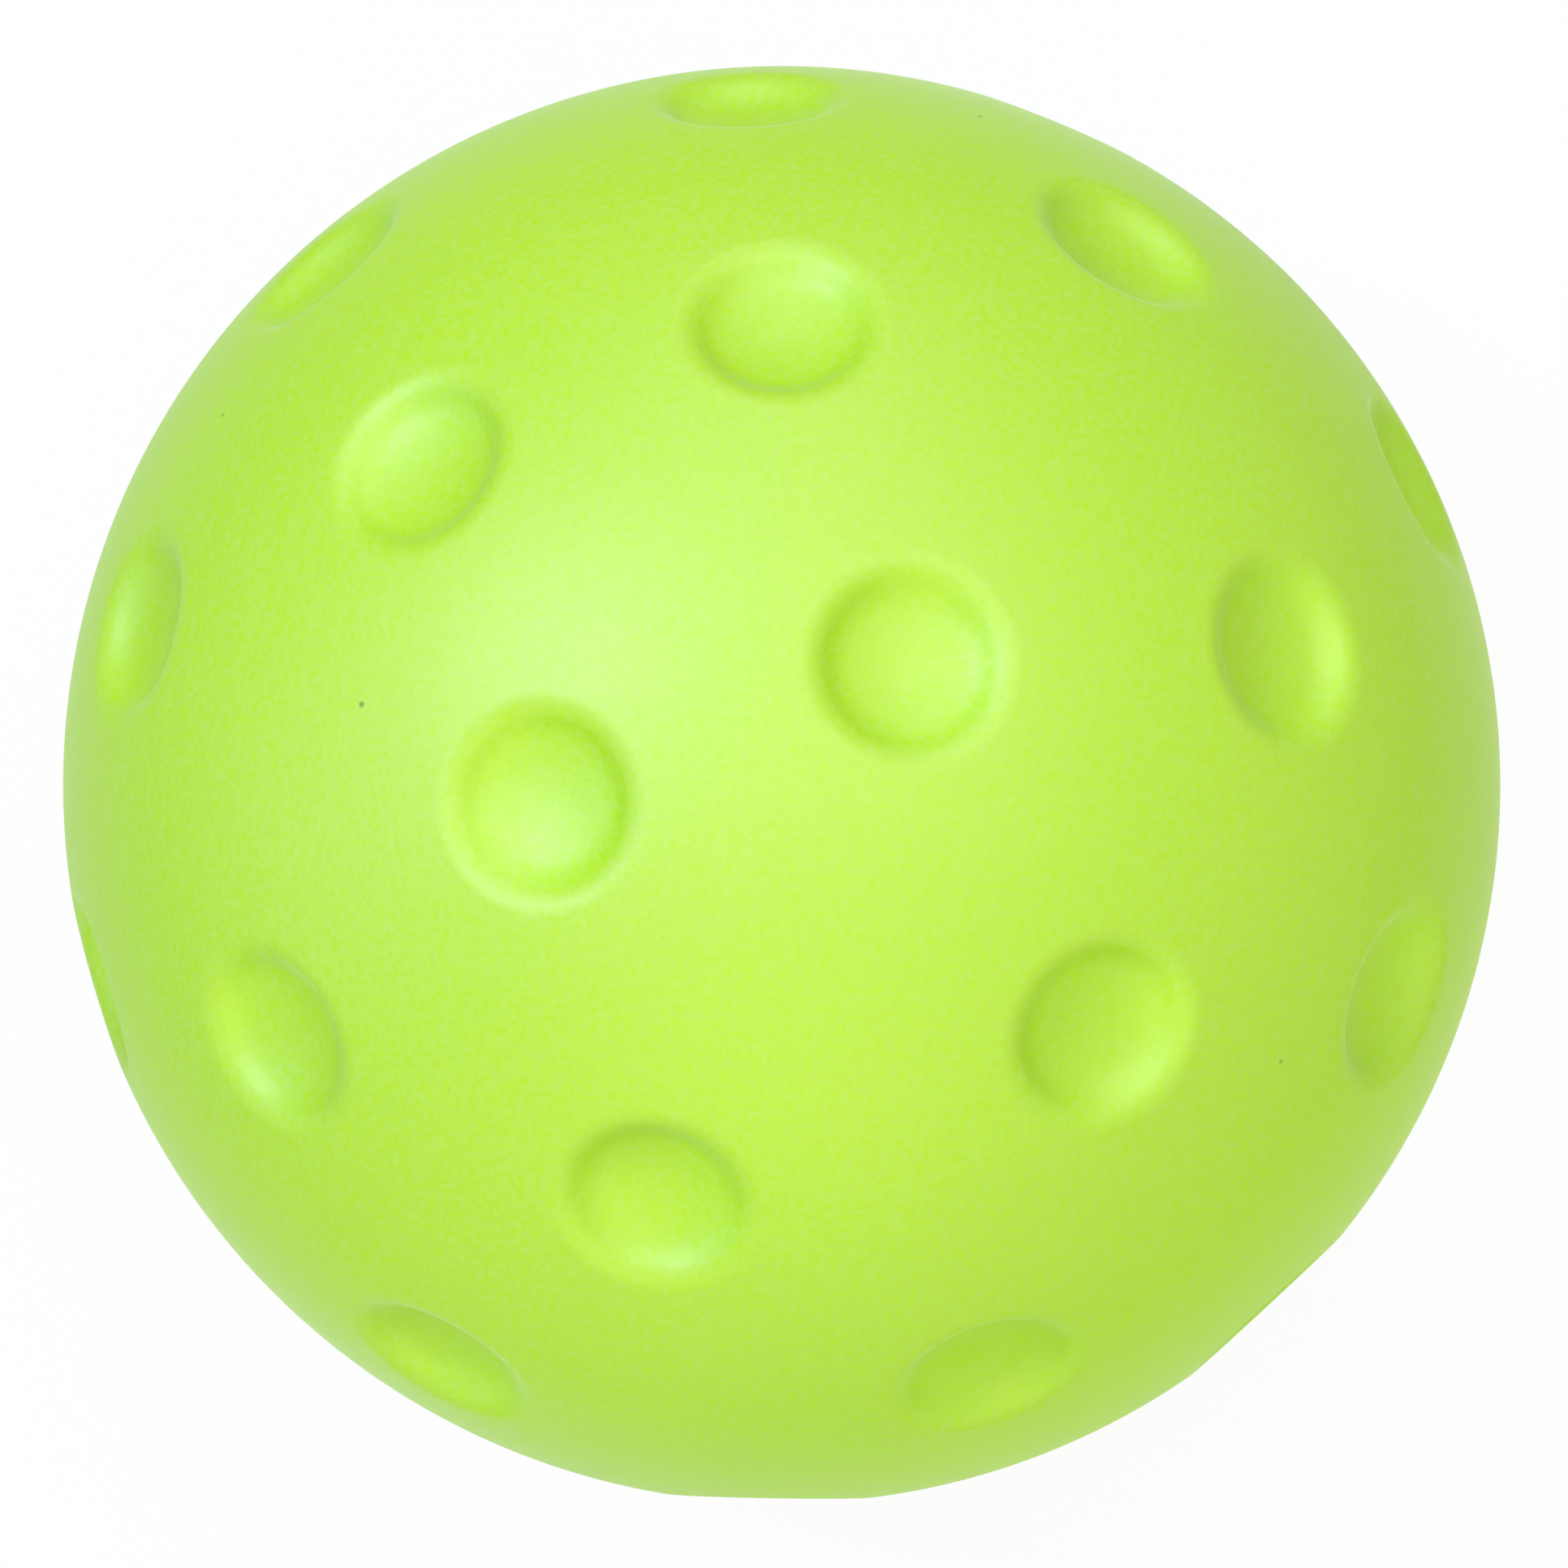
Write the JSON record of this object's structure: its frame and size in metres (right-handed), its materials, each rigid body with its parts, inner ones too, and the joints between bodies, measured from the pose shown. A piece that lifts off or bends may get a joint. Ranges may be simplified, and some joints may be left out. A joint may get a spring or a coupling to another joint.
{
  "type": "foam pickleball",
  "caption": "Soft round training ball with a dense skin bonded over a solid foam core, with shallow blind dimples spread over it where a hard ball has holes.",
  "frame": {"origin": "centre of the ball", "axes": "+Z along the mould axis, out of the bare pole at the middle of the first ring of dimples; +X through one dimple of that ring and the outer dimple in line with it"},
  "size_m": [0.074, 0.074, 0.074],
  "materials": {
    "lime_skin": "matte moulded polyurethane skin, lime green, smooth with a very fine mottle",
    "foam": "open, fine-celled low-density polyurethane foam, pale lime"
  },
  "bodies": {
    "root": {"foam_core": "foam", "outer_skin": "lime_skin"}
  },
  "joints": []
}
